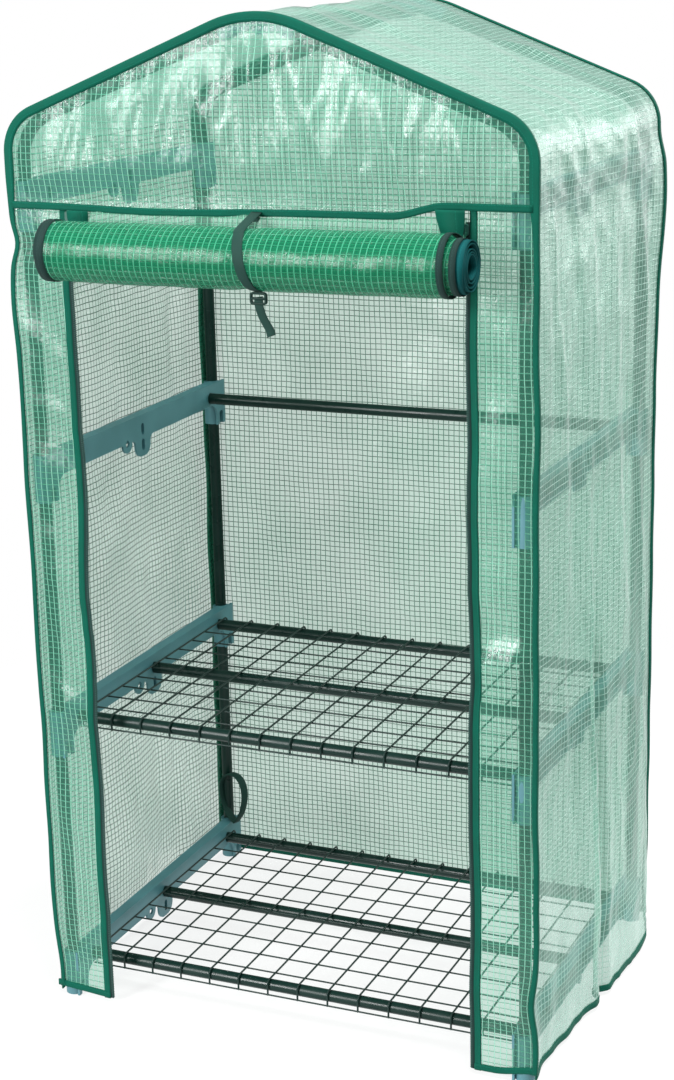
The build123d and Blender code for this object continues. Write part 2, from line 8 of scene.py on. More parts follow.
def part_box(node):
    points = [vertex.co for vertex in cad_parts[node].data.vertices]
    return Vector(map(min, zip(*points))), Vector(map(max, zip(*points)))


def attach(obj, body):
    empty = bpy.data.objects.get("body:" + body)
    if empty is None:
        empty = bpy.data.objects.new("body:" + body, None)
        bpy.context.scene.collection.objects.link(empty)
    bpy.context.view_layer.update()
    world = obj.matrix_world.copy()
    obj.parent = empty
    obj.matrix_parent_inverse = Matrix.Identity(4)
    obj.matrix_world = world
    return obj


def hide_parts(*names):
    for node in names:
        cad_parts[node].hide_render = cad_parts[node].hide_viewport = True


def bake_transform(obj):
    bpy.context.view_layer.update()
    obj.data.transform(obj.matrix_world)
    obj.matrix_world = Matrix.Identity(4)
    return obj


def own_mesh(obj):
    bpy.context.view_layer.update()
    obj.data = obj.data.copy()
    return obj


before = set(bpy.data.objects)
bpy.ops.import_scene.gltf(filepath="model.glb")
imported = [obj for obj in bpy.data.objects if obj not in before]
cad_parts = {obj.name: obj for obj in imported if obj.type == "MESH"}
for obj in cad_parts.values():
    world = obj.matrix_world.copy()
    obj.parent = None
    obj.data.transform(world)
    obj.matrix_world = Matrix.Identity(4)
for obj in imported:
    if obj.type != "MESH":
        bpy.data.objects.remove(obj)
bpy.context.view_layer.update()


def low(node):
    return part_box(node)[0]


def high(node):
    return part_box(node)[1]


# -------------------------------------------- places read from the frame
WALL_X = high("cover_side_right").x      # outer face of the side walls
WALL_TOP_Z = high("cover_side_right").z  # where the eave's curve starts
HEM_Z = low("cover_side_right").z
RIDGE_Z = high("cover_roof_right").z
FRONT_Y = low("front_gable").y           # outer faces of the front and back panels
BACK_Y = high("cover_back").y
MID_Y = (FRONT_Y + BACK_Y) / 2
HEADER_Z = low("front_gable").z
DOOR_X = low("front_strip_right").x      # inner edge of the front strips
ROLL_LOW, ROLL_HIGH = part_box("door_roll")
ROLL_Y = (ROLL_LOW.y + ROLL_HIGH.y) / 2
ROLL_Z = (ROLL_LOW.z + ROLL_HIGH.z) / 2
ROLL_R = (ROLL_HIGH.z - ROLL_LOW.z) / 2
TIE_X = (low("roll_tie").x + high("roll_tie").x) / 2
SLIDER_TRAVEL = 1.02                     # the zip slides' limit in the record
ZIP_HIGH_STOP_Z = low("zip_slider_left").z - 0.002
ZIP_LOW_STOP_Z = high("zip_slider_left").z - SLIDER_TRAVEL + 0.002
TIE_W = high("roll_tie").x - low("roll_tie").x

# -------------------------------------------- the cover's own sizes
ROOF_SLOPE = math.radians(21.75)
EAVE_RADIUS = 0.060
PEAK_RADIUS = 0.157
FILM_INSET = 0.0008                      # from the sheet's outer face to its middle
THREAD_PITCH = 0.0079
THREAD_W = 0.00115
TAPE_T = 0.0013                          # one leg of a folded binding tape
ARCH_TAPE_W = 0.0105
CORNER_TAPE_W = 0.0052
TAPE_WIDENS_Z = (1.04, 1.12)             # between these heights the corner tape becomes the arch's
HEM_TAPE_W = 0.0090
EDGE_TAPE_W = 0.0088
FRONT_LEG = 0.004                        # the binding's leg round the front and back corners
BACK_LEG = 0.0095
ZIP_TAPE_W = 0.0045
EDGE_FADE = 0.07                         # how far a corner's wave reaches into a panel

WALL_LENGTH = WALL_TOP_Z - HEM_Z
EAVE_TURN = math.pi / 2 - ROOF_SLOPE
EAVE_LENGTH = EAVE_RADIUS * EAVE_TURN
EAVE_X = WALL_X - EAVE_RADIUS
EAVE_END_X = EAVE_X + EAVE_RADIUS * math.cos(EAVE_TURN)
EAVE_END_Z = WALL_TOP_Z + EAVE_RADIUS * math.sin(EAVE_TURN)
PEAK_START_X = PEAK_RADIUS * math.sin(ROOF_SLOPE)
SLOPE_LENGTH = (EAVE_END_X - PEAK_START_X) / math.cos(ROOF_SLOPE)
PEAK_LENGTH = PEAK_RADIUS * ROOF_SLOPE
WRAP_LENGTH = WALL_LENGTH + EAVE_LENGTH + SLOPE_LENGTH + PEAK_LENGTH
SIDES = {"left": -1, "right": 1}


# -------------------------------------------- small maths
def smooth(start, end, value):
    """0 before start, 1 after end, smooth between."""
    t = min(1.0, max(0.0, (value - start) / (end - start)))
    return t * t * (3 - 2 * t)


def bell(centre, width, value):
    return math.exp(-(((value - centre) / width) ** 2))


def folds(shapes, value, across=0.0):
    """Sum of given (depth, place, spread, lean) folds. A leaning fold moves with the place across it."""
    return sum(depth * bell(place, spread, value - lean * across) for depth, place, spread, lean in shapes)


def curve_through(points, value):
    """Smooth line through given (place, amount) points."""
    if value <= points[0][0]:
        return points[0][1]
    for (a, first), (b, second) in zip(points, points[1:]):
        if value <= b:
            return first + (second - first) * smooth(a, b, value)
    return points[-1][1]


def ripple(a, b, seed):
    """Soft unevenness, about -1 to 1."""
    return 1.8 * noise.noise(Vector((a, b, seed)))


def crinkle(a, b, seed):
    """Sharp creases between flat facets, about 0 to 1."""
    return 1 - min(1.0, 3.2 * abs(noise.noise(Vector((a, b, seed)))))


def held(value, low_end, high_end, margin):
    """0 at both ends of a span and 1 away from them."""
    return smooth(low_end, low_end + margin, value) * smooth(-high_end, -high_end + margin, -value)


def spaced(start, end, steps):
    return [start + (end - start) * i / steps for i in range(steps + 1)]


# -------------------------------------------- meshes
def finish_mesh(name, verts, faces, uvs, material, smooth_shading=True):
    mesh = bpy.data.meshes.new(name)
    mesh.from_pydata(verts, [], faces)
    layer = mesh.uv_layers.new(name="cloth")
    for loop in mesh.loops:
        layer.data[loop.index].uv = uvs[loop.vertex_index]
    if smooth_shading:
        mesh.polygons.foreach_set("use_smooth", [True] * len(mesh.polygons))
    mesh.materials.append(material)
    mesh.update()
    piece = bpy.data.objects.new(name, mesh)
    bpy.context.scene.collection.objects.link(piece)
    return piece


def sheet_mesh(name, place, columns, rows, material, flip=False):
    """Sheet of quads. place(u, v) gives a point and its place on the flat cloth, for u and v from 0 to 1."""
    verts, uvs, faces = [], [], []
    for j in range(rows + 1):
        for i in range(columns + 1):
            point, cloth = place(i / columns, j / rows)
            verts.append(point)
            uvs.append(cloth)
    stride = columns + 1
    for j in range(rows):
        for i in range(columns):
            corner = j * stride + i
            quad = (corner, corner + 1, corner + stride + 1, corner + stride)
            faces.append(quad[::-1] if flip else quad)
    return finish_mesh(name, verts, faces, uvs, material)


def swept_mesh(name, stations, material, closed_path=False):
    """Closed profile of (a, b) offsets, swept along stations of (origin, across, out, profile)."""
    verts, uvs, faces = [], [], []
    run = 0.0
    count = len(stations[0][3])
    previous = None
    for origin, across, out, profile in stations:
        if previous is not None:
            run += (origin - previous).length
        previous = origin
        for a, b in profile:
            verts.append(origin + across * a + out * b)
            uvs.append((run, a if abs(a) > abs(b) else -b))
    rings = len(stations)
    for i in range(rings if closed_path else rings - 1):
        ring, following = i * count, ((i + 1) % rings) * count
        for k in range(count):
            after = (k + 1) % count
            faces.append((ring + k, ring + after, following + after, following + k))
    if not closed_path:
        faces.append(tuple(range(count - 1, -1, -1)))
        faces.append(tuple(range((rings - 1) * count, rings * count)))
    return finish_mesh(name, verts, faces, uvs, material)


# -------------------------------------------- shader building
class Shader:
    """Short names for the nodes of one material."""

    def __init__(self, name):
        self.material = bpy.data.materials.new(name)
        self.material.use_nodes = True
        self.tree = self.material.node_tree
        self.tree.nodes.clear()
        self.output = self.tree.nodes.new("ShaderNodeOutputMaterial")

    def node(self, kind, inputs=None, **settings):
        made = self.tree.nodes.new(kind)
        for key, value in settings.items():
            setattr(made, key, value)
        for key, value in (inputs or {}).items():
            self.feed(made.inputs[key], value)
        return made

    def feed(self, socket, value):
        if isinstance(value, bpy.types.NodeSocket):
            self.tree.links.new(value, socket)
        else:
            socket.default_value = value

    def math(self, operation, *values):
        made = self.node("ShaderNodeMath", operation=operation)
        for socket, value in zip(made.inputs, values):
            self.feed(socket, value)
        return made.outputs[0]

    def ramp(self, value, from_low, from_high, to_low=0.0, to_high=1.0):
        inputs = {"Value": value, "From Min": from_low, "From Max": from_high,
                  "To Min": to_low, "To Max": to_high}
        return self.node("ShaderNodeMapRange", inputs).outputs["Result"]

    def mix_colour(self, factor, first, second):
        made = self.node("ShaderNodeMix", data_type="RGBA")
        self.feed(made.inputs["Factor"], factor)
        self.feed(made.inputs[6], first)
        self.feed(made.inputs[7], second)
        return made.outputs[2]

    def mix_shader(self, factor, first, second):
        return self.node("ShaderNodeMixShader", {"Fac": factor, 1: first, 2: second}).outputs[0]

    def noise(self, vector, scale, detail=2.0, roughness=0.5):
        inputs = {"Vector": vector, "Scale": scale, "Detail": detail, "Roughness": roughness}
        return self.node("ShaderNodeTexNoise", inputs).outputs["Fac"]

    def cloth(self):
        """The flat cloth's own coordinates in metres: along u, across v."""
        place = self.node("ShaderNodeUVMap", uv_map="cloth").outputs["UV"]
        parts = self.node("ShaderNodeSeparateXYZ", {"Vector": place})
        return place, parts.outputs["X"], parts.outputs["Y"]

    def object_place(self):
        return self.node("ShaderNodeTexCoord").outputs["Object"]

    def upright_cloth(self):
        """Across and up in metres, for a hanging cloth whose length grows as the door unrolls."""
        parts = self.node("ShaderNodeSeparateXYZ", {"Vector": self.object_place()})
        across, up = parts.outputs["X"], parts.outputs["Z"]
        return self.node("ShaderNodeCombineXYZ", {"X": across, "Y": up}).outputs["Vector"], across, up

    def bump(self, height, strength, distance):
        inputs = {"Height": height, "Strength": strength, "Distance": distance}
        return self.node("ShaderNodeBump", inputs).outputs["Normal"]

    def show(self, shader):
        self.feed(self.output.inputs["Surface"], shader)
        return self.material


def rgba(r, g, b):
    """Linear colour from 0-255 display values."""
    def linear(c):
        c /= 255
        return c / 12.92 if c <= 0.04045 else ((c + 0.055) / 1.055) ** 2.4
    return (linear(r), linear(g), linear(b), 1.0)


def toned(colour, factor, lift=0.0):
    return [min(1.0, c * factor + lift) for c in colour[:3]] + [1.0]


def stripes(shader, coordinate, pitch, width, soft=0.35):
    """1 on lines of the given width, one each pitch, with soft edges."""
    phase = shader.math("FRACT", shader.math("MULTIPLY", coordinate, 1 / pitch))
    off_centre = shader.math("ABSOLUTE", shader.math("SUBTRACT", phase, 0.5))
    half = width / pitch / 2
    return shader.ramp(off_centre, half * (1 + soft), half * (1 - soft))


FILM_TINT = (0.88, 0.965, 0.925, 1.0)    # colour of light that passes straight through the film
THROUGH_SHARE = 0.28                     # share of the film's own colour lit from behind
HEAD_ON_MIRROR = 0.04                    # mirror share seen square on, for a gloss share of 1


def film_material(name, film, thread, film_alpha, thread_alpha, gloss_share=0.85, dullness=0.0,
                  weft_shade=1.0, upright=False):
    """Clear film with a grid of green threads laminated in it, glossy all over and finely crumpled.

    weft_shade sets how far painted shade darkens the level threads, less where they lie on top at a
    crossing. upright lays the grid by place instead of by cloth.
    """
    s = Shader(name)
    place, u, v = s.upright_cloth() if upright else s.cloth()
    drift = s.math("MULTIPLY", s.math("SUBTRACT", s.noise(place, 14.0), 0.5), 0.0022)
    down = stripes(s, s.math("ADD", u, drift), THREAD_PITCH, THREAD_W)
    across = stripes(s, s.math("ADD", v, drift), THREAD_PITCH, THREAD_W)
    grid = s.math("MAXIMUM", down, across)
    crossing = s.math("MULTIPLY", down, across)
    thickness = s.noise(place, 90.0)
    cells = s.mix_colour(s.ramp(thickness, 0.3, 0.7), film, toned(film, 0.8))
    # painted shade: the level threads are darkened towards this colour, least where they lie on top at a
    # crossing
    shaded = [thread[0] * 0.32, thread[1] * 0.55, thread[2] * 0.48, 1.0]
    on_top = s.ramp(crossing, 0.9, 0.2, 0.35 * weft_shade, weft_shade)
    strand = s.mix_colour(s.math("MULTIPLY", across, on_top), thread, shaded)
    colour = s.mix_colour(grid, cells, strand)
    crease = s.noise(place, 130.0, 4.0, 0.62)
    haze = s.ramp(s.noise(place, 7.0), 0.3, 0.7, film_alpha - 0.05, film_alpha + 0.06)
    alpha = s.math("ADD", haze, s.math("MULTIPLY", grid, thread_alpha - film_alpha))
    alpha = s.math("MINIMUM", alpha, 1.0)
    long_cells = s.node("ShaderNodeMapping", {"Vector": place, "Scale": (30.0, 13.0, 1.0)}).outputs[0]
    facets = s.node("ShaderNodeTexVoronoi", {"Vector": long_cells, "Scale": 1.0}).outputs["Distance"]
    height = s.math("ADD", s.math("MULTIPLY", grid, 0.30), s.math("MULTIPLY", crease, 0.42))
    height = s.math("ADD", height, facets)
    bump = s.bump(height, 0.6, 0.0034)
    roughness = s.ramp(crease, 0.3, 0.7, 0.14 + dullness, 0.28 + dullness)
    body = s.node("ShaderNodeBsdfDiffuse", {"Color": colour, "Normal": bump}).outputs[0]
    through = s.node("ShaderNodeBsdfTranslucent", {"Color": colour, "Normal": bump}).outputs[0]
    solid = s.mix_shader(THROUGH_SHARE, body, through)
    clear = s.node("ShaderNodeBsdfTransparent", {"Color": FILM_TINT}).outputs[0]
    sheet = s.mix_shader(alpha, clear, solid)
    inputs = {"Color": (1, 1, 1, 1), "Roughness": roughness, "Normal": bump}
    gloss = s.node("ShaderNodeBsdfGlossy", inputs).outputs[0]
    facing = s.node("ShaderNodeLayerWeight", {"Blend": 0.5, "Normal": bump}).outputs["Facing"]
    grazing = s.math("MULTIPLY", s.math("POWER", facing, 5.0), gloss_share)
    mirror = s.math("ADD", HEAD_ON_MIRROR * gloss_share, grazing)
    return s.show(s.mix_shader(mirror, sheet, gloss))


def painted_steel(name, colour, roughness=0.34, speck_scale=900.0):
    """Glossy enamel on steel: slight orange peel, dull patches and fine scratches."""
    s = Shader(name)
    place = s.object_place()
    patches = s.noise(place, 22.0, 3.0)
    peel = s.noise(place, speck_scale, 2.0)
    stretched = s.node("ShaderNodeMapping", {"Vector": place, "Scale": (6.0, 6.0, 900.0)}).outputs[0]
    scratches = s.ramp(s.noise(stretched, 3.0, 4.0, 0.7), 0.62, 0.72)
    worn = toned(colour, 1.9, 0.005)
    base = s.mix_colour(s.ramp(patches, 0.35, 0.75, 0.0, 0.35), colour, worn)
    base = s.mix_colour(s.math("MULTIPLY", scratches, 0.25), base, worn)
    rough = s.math("ADD", s.ramp(patches, 0.3, 0.7, roughness - 0.08, roughness + 0.1),
                   s.math("MULTIPLY", scratches, 0.15))
    inputs = {"Base Color": base, "Roughness": rough, "Normal": s.bump(peel, 0.25, 0.0002),
              "Specular IOR Level": 0.26}
    return s.show(s.node("ShaderNodeBsdfPrincipled", inputs).outputs[0])


def moulded_plastic(name, colour, roughness=0.45, shine=0.5):
    """Moulded plastic: fine spark-eroded grain, flow marks and paler rubbed spots."""
    s = Shader(name)
    place = s.object_place()
    grain = s.noise(place, 1500.0, 2.0)
    flow = s.noise(place, 18.0, 3.0)
    pale = toned(colour, 1.45, 0.01)
    base = s.mix_colour(s.ramp(flow, 0.35, 0.7, 0.0, 0.45), colour, pale)
    rough = s.ramp(flow, 0.3, 0.7, roughness - 0.08, roughness + 0.08)
    inputs = {"Base Color": base, "Roughness": rough, "Normal": s.bump(grain, 0.3, 0.00025),
              "Specular IOR Level": shine}
    return s.show(s.node("ShaderNodeBsdfPrincipled", inputs).outputs[0])


def woven_tape(name, colour, stitch_at=None, rib=0.0011):
    """Woven tape: diagonal ribs with painted shade between them, slightly uneven dye, and a row of stitches
    where it is sewn.
    """
    s = Shader(name)
    place, u, v = s.cloth()
    slanted = s.math("ADD", u, s.math("MULTIPLY", v, 0.8))
    ribs = stripes(s, slanted, rib, rib * 0.62, 0.6)
    picks = stripes(s, v, rib * 0.8, rib * 0.5, 0.6)
    dye = s.noise(place, 30.0, 3.0)
    pale = toned(colour, 1.4, 0.001)
    dark = toned(colour, 0.62)
    base = s.mix_colour(s.ramp(dye, 0.3, 0.72, 0.0, 0.55), colour, pale)
    # painted shade: darker in the grooves between the ribs
    base = s.mix_colour(s.math("MULTIPLY", s.math("SUBTRACT", 1.0, ribs), 0.55), base, dark)
    height = s.math("ADD", ribs, s.math("MULTIPLY", picks, 0.5))
    if stitch_at is not None:
        row = s.ramp(s.math("ABSOLUTE", s.math("SUBTRACT", v, stitch_at)), 0.0006, 0.0003)
        dash = stripes(s, u, 0.0036, 0.0026, 0.15)
        stitch = s.math("MULTIPLY", row, dash)
        base = s.mix_colour(stitch, base, pale)
        height = s.math("ADD", height, s.math("MULTIPLY", stitch, 3.0))
    rough = s.ramp(dye, 0.3, 0.7, 0.55, 0.72)
    inputs = {"Base Color": base, "Roughness": rough, "Normal": s.bump(height, 0.6, 0.0002),
              "Specular IOR Level": 0.12, "Sheen Weight": 0.02, "Sheen Roughness": 0.4}
    return s.show(s.node("ShaderNodeBsdfPrincipled", inputs).outputs[0])


# painted light: the front-lit copy of the film, its threads painted pale, for the gable and the strips
FILM = film_material(
    "mesh_film", film=(0.06, 0.37, 0.24, 1.0), thread=(0.31, 0.68, 0.52, 1.0),
    film_alpha=0.35, thread_alpha=0.84)
# painted shade: a darker copy of the film, its threads and cells darkened, for the left wall and the back,
# seen from inside
PAINTED_SHADE_FILM = film_material(
    "painted_shade_mesh_film", film=(0.03, 0.31, 0.175, 1.0), thread=(0.022, 0.14, 0.085, 1.0),
    film_alpha=0.41, thread_alpha=0.90)
# painted sheen: a paler, milkier copy of the film, its colour standing in for the glare seen at a slant and
# the light from behind, for the right wall and the roof
PAINTED_SHEEN_FILM = film_material(
    "painted_sheen_mesh_film", film=(0.21, 0.50, 0.38, 1.0), thread=(0.42, 0.72, 0.60, 1.0),
    film_alpha=0.52, thread_alpha=0.86, gloss_share=0.6, dullness=0.14, weft_shade=0.3)
# for the rolled door
ROLL_FILM = film_material(
    "rolled_mesh_film", film=(0.006, 0.27, 0.13, 1.0), thread=(0.11, 0.50, 0.31, 1.0),
    film_alpha=0.50, thread_alpha=0.84, gloss_share=0.45)
# for the door where it hangs
DOOR_FILM = film_material(
    "door_mesh_film", film=(0.04, 0.34, 0.20, 1.0), thread=(0.22, 0.60, 0.42, 1.0),
    film_alpha=0.44, thread_alpha=0.84, gloss_share=0.3, dullness=0.1, upright=True)
BINDING = woven_tape("green_binding", (0.0, 0.088, 0.056, 1.0), stitch_at=0.0068)
CORE_TAPE = woven_tape("teal_binding", (0.0, 0.075, 0.078, 1.0), stitch_at=0.005)
WEBBING = woven_tape("grey_green_webbing", (0.014, 0.046, 0.037, 1.0), rib=0.0016)
ZIP_WEAVE = woven_tape("zip_tape_weave", (0.012, 0.034, 0.030, 1.0), stitch_at=0.005)
ZIP_TEETH = moulded_plastic("zip_teeth", rgba(30, 66, 60), 0.35)
TUBE_PAINT = painted_steel("tube_enamel", rgba(9, 36, 31), 0.29)
WIRE_PAINT = painted_steel("wire_enamel", rgba(18, 40, 36), 0.4, 1600.0)
BRACKET_PLASTIC = moulded_plastic("bracket_plastic", rgba(72, 120, 128))
BUCKLE_PLASTIC = moulded_plastic("buckle_plastic", rgba(18, 46, 40), 0.5, 0.14)
ZIP_METAL = painted_steel("zip_slider_enamel", rgba(40, 84, 74), 0.3, 2200.0)


# -------------------------------------------- the cover's shape
def section(s):
    """Right half of the cover's section: (x, z, outward x, outward z) at s metres up from the hem."""
    if s <= WALL_LENGTH:
        return WALL_X, HEM_Z + s, 1.0, 0.0
    s -= WALL_LENGTH
    if s <= EAVE_LENGTH:
        turn = s / EAVE_RADIUS
        return (EAVE_X + EAVE_RADIUS * math.cos(turn), WALL_TOP_Z + EAVE_RADIUS * math.sin(turn),
                math.cos(turn), math.sin(turn))
    s -= EAVE_LENGTH
    sine, cosine = math.sin(ROOF_SLOPE), math.cos(ROOF_SLOPE)
    if s <= SLOPE_LENGTH:
        return EAVE_END_X - s * cosine, EAVE_END_Z + s * sine, sine, cosine
    turn = ROOF_SLOPE - (s - SLOPE_LENGTH) / PEAK_RADIUS
    return (PEAK_RADIUS * math.sin(turn), RIDGE_Z - PEAK_RADIUS * (1 - math.cos(turn)),
            math.sin(turn), math.cos(turn))


def top_z(x):
    """Height of the cover's outline over a place across the front."""
    x = abs(x)
    if x >= EAVE_END_X:
        return WALL_TOP_Z + math.sqrt(max(0.0, EAVE_RADIUS ** 2 - (x - EAVE_X) ** 2))
    if x >= PEAK_START_X:
        return EAVE_END_Z + (EAVE_END_X - x) * math.tan(ROOF_SLOPE)
    return RIDGE_Z - PEAK_RADIUS + math.sqrt(PEAK_RADIUS ** 2 - x * x)


def header_z(x):
    """The header seam sags in the middle and is drawn up where the door's right edge hangs from it."""
    return HEADER_Z - 0.002 - 0.004 * bell(-0.13, 0.11, x) + 0.013 * smooth(0.165, 0.235, x)


CORNER_FOLDS = {                         # by end and side; -1 is the front and the left
    (-1, -1): ((0.007, 1.030, 0.020, 0), (-0.002, 0.96, 0.05, 0), (0.006, 0.03, 0.05, 0)),
    (-1, 1): ((0.005, 0.105, 0.030, 0), (-0.002, 0.19, 0.05, 0)),
    (1, -1): (),
    (1, 1): ((-0.009, 1.05, 0.13, 0),),
}


def corner_shift(side, end, z):
    """How far a vertical corner seam wanders inwards across the front or back."""
    wave = 0.0016 * ripple(z * 9, side * 3 + end, 4.0) + folds(CORNER_FOLDS[end, side], z)
    return wave * smooth(WALL_TOP_Z, WALL_TOP_Z - 0.05, z)


RIGHT_FOLD = ((0.0, 0.0), (0.09, -0.006), (0.28, 0.0), (0.44, 0.012), (0.475, -0.001),
              (0.52, 0.017), (0.70, 0.012), (1.0, 0.0))
RIGHT_SWELL = ((0.45, 0.0), (0.55, 0.003), (0.72, 0.010), (0.90, 0.010), (1.0, 0.0))
FOLD_LEAN = 0.14                         # share of the depth per metre that the fold leans forward
LEFT_HEM_PUSH = ((0.0, 0.0), (0.15, 0.006), (0.40, -0.004), (0.70, 0.009), (1.0, 0.0))


def wrap_push(side, s, y):
    """How far the sheet over a side wall and the roof stands out from its taut place."""
    t = (y - FRONT_Y) / (BACK_Y - FRONT_Y)
    if side > 0:
        push = curve_through(RIGHT_FOLD, t + FOLD_LEAN * s * (1 - t)) * (1 - smooth(0.20, 0.82, s))
        push += curve_through(RIGHT_SWELL, t) * (1 - smooth(0.04, 0.40, s))
    else:
        push = curve_through(LEFT_HEM_PUSH, t) * (1 - smooth(0.06, 0.78, s))
    free = held(t, 0.0, 1.0, 0.13)
    roof = smooth(WALL_LENGTH, WALL_LENGTH + EAVE_LENGTH, s)
    seed = 11.0 + side
    wall = free * (1 - roof)
    push += wall * (0.0040 * ripple(y * 6, s * 3.2, seed) + 0.0018 * ripple(y * 21, s * 6, seed + 5))
    push += wall * 0.0034 * crinkle(y * 9, s * 3.0 + y * 5, seed + 9)
    push += wall * 0.0016 * crinkle(y * 22 - s * 9, s * 12, seed + 13)
    sag = -0.006 * math.sin(math.pi * t) * roof * (1 - smooth(WRAP_LENGTH - 0.10, WRAP_LENGTH, s))
    crumple = 0.0024 * ripple(y * 10, s * 12, seed + 2) + 0.0032 * crinkle(y * 9, s * 9, seed)
    push += sag + free * roof * crumple
    push += free * 0.0015 * crinkle(y * 12 + s * 16, s * 10, seed + 21) * bell(WALL_LENGTH, 0.13, s)
    return push


def wrap_point(side, s, y):
    x, z, out_x, out_z = section(s)
    push = wrap_push(side, s, y) - FILM_INSET
    front, back = y - FRONT_Y, BACK_Y - y
    shift = corner_shift(side, -1, z) * smooth(EDGE_FADE, 0.0, front)
    shift += corner_shift(side, 1, z) * smooth(EDGE_FADE, 0.0, back)
    return Vector((side * (x + out_x * push - shift), y, z + out_z * push))


def wrap_panel(name, side, s_low, s_high, rows):
    def place(u, v):
        s = s_low + (s_high - s_low) * v
        y = FRONT_Y + (BACK_Y - FRONT_Y) * u
        return wrap_point(side, s, y), (y, s)
    # painted shade on the left wall, painted sheen on the right wall and on both roof slopes
    film = PAINTED_SHADE_FILM if side < 0 and s_low == 0 else PAINTED_SHEEN_FILM
    return sheet_mesh(name, place, 84, rows, film, flip=side < 0)


GABLE_CREASES = ((0.0055, 0.006, 0.012, -0.05), (0.004, 0.105, 0.012, -0.35),
                 (0.004, 0.205, 0.014, -0.45), (0.003, -0.16, 0.014, 0.3))


def gable_push(x, z):
    """The front gable bellies out a little, with upright creases where the sewing gathers it."""
    height = (z - HEADER_Z) / max(0.02, top_z(x) - HEADER_Z)
    free = held(height, 0.0, 1.0, 0.3) * held(x, -WALL_X, WALL_X, 0.07)
    belly = 0.006 * math.sin(math.pi * min(1.0, max(0.0, height))) ** 0.7
    creases = 0.0034 * crinkle(x * 15 + z * 4, z * 3.0, 31.0) + 0.0022 * crinkle(x * 30 - z * 8, z * 9, 37.0)
    pulled = folds(GABLE_CREASES, x, z - HEADER_Z)
    return free * (belly + creases + pulled + 0.002 * ripple(x * 18, z * 14, 33.0))


def clear_of_slider(z):
    """The zip runs straight where its slider stops, at either end."""
    above_low_stop = smooth(ZIP_LOW_STOP_Z, ZIP_LOW_STOP_Z + 0.05, z)
    return above_low_stop * smooth(ZIP_HIGH_STOP_Z, ZIP_HIGH_STOP_Z - 0.04, z)


STRIP_FOLDS = {-1: ((0.004, 0.42, 0.03, 0), (-0.003, 0.33, 0.04, 0)),
               1: ((0.007, 0.540, 0.022, 0.25), (-0.004, 0.60, 0.03, 0))}


def strip_push(side, x, z):
    """Ripples in the strips beside the door."""
    across = (abs(x) - DOOR_X) / (WALL_X - DOOR_X)
    free = smooth(1.0, 0.6, across) * (0.55 + 0.45 * smooth(0.0, 0.3, across))
    ends = held(z, HEM_Z, HEADER_Z, 0.05) * (1 - (1 - clear_of_slider(z)) * smooth(0.35, 0.0, across))
    wave = 0.0035 * ripple(z * 9, x * 16, 41.0 + side)
    wave += 0.0022 * crinkle(z * 13 + x * 9, x * 10, 43.0 + side)
    return ends * free * (wave + folds(STRIP_FOLDS[side], z, abs(x) - DOOR_X))


DOOR_EDGE_FOLDS = {-1: ((-0.003, 0.73, 0.06, 0), (0.003, 0.60, 0.06, 0)),
                   1: ((0.0045, 0.535, 0.045, 0), (-0.0015, 0.64, 0.06, 0))}


def door_edge_x(side, z):
    """The door's edges hang a little unevenly."""
    wave = 0.0016 * ripple(z * 7, side * 2.0, 51.0) + folds(DOOR_EDGE_FOLDS[side], z)
    return DOOR_X + wave * clear_of_slider(z)


def strip_low_z(side, x):
    """Lower edge of a front strip: it lifts a little towards the corner."""
    across = (abs(x) - DOOR_X) / (WALL_X - DOOR_X)
    return HEM_Z + (0.008 * smooth(0.3, 1.0, across) if side > 0 else 0.006 * across)


def back_push(x, z):
    free = held(x, -WALL_X, WALL_X, 0.08) * held(z, HEM_Z, top_z(x), 0.06)
    wave = 0.0035 * ripple(x * 7, z * 4, 61.0) + 0.0015 * ripple(x * 24, z * 9, 63.0)
    return free * (wave + 0.0018 * crinkle(x * 9 + z * 5, z * 5, 67.0) - 0.001)


def outline_x(u):
    """Places across the front, closer together towards both ends."""
    t = 2 * u - 1
    return math.copysign(WALL_X - FILM_INSET, t) * (1 - (1 - abs(t)) ** 1.5)


def face_x(x, end, z):
    """Place across a front or back panel, moved with the corner seams."""
    side = 1 if x > 0 else -1
    return x - side * corner_shift(side, end, z) * smooth(WALL_X - EDGE_FADE, WALL_X, abs(x))


def gable_film():
    def place(u, v):
        x = outline_x(u)
        z = header_z(x) + v * (top_z(x) - FILM_INSET - header_z(x))
        return Vector((face_x(x, -1, z), FRONT_Y + FILM_INSET - gable_push(x, z), z)), (x, z)
    return sheet_mesh("film_gable", place, 150, 44, FILM)


def back_film():
    def place(u, v):
        x = outline_x(u)
        z = HEM_Z + v * (top_z(x) - FILM_INSET - HEM_Z)
        return Vector((face_x(x, 1, z), BACK_Y - FILM_INSET + back_push(x, z), z)), (x, z)
    return sheet_mesh("film_back", place, 110, 170, PAINTED_SHADE_FILM, flip=True)


def strip_film(name, side):
    def place(u, v):
        z = HEM_Z + v * (HEADER_Z - HEM_Z)
        edge = door_edge_x(side, z)
        x = edge + u * (WALL_X - FILM_INSET - edge)
        low_z = strip_low_z(side, x)
        z = low_z + v * (header_z(side * x) - low_z)
        y = FRONT_Y + FILM_INSET - strip_push(side, side * x, z)
        return Vector((face_x(side * x, -1, z), y, z)), (side * x, z)
    return sheet_mesh(name, place, 16, 170, FILM, flip=side < 0)


# -------------------------------------------- bindings
def corner_section(width, leg, t=TAPE_T):
    """Folded tape round a corner: a leg on the face, a short leg round the edge."""
    return [(width, 0.0004), (width, -t * 0.9), (width * 0.6, -t), (0.001, -t), (-t * 0.7, -t * 0.7),
            (-t, 0.001), (-t, leg), (0.0004, leg), (0.0004, 0.0004)]


def flat_section(width, t=TAPE_T):
    """Folded tape over a free edge: two legs, one on each face, and the fold between."""
    return [(width, t), (width * 0.8, t * 0.8), (width * 0.35, t), (0.0008, t * 0.9), (0.0, 0.0),
            (0.0008, -t * 0.9), (width * 0.35, -t), (width * 0.8, -t * 0.8), (width, -t), (width, 0.0)]


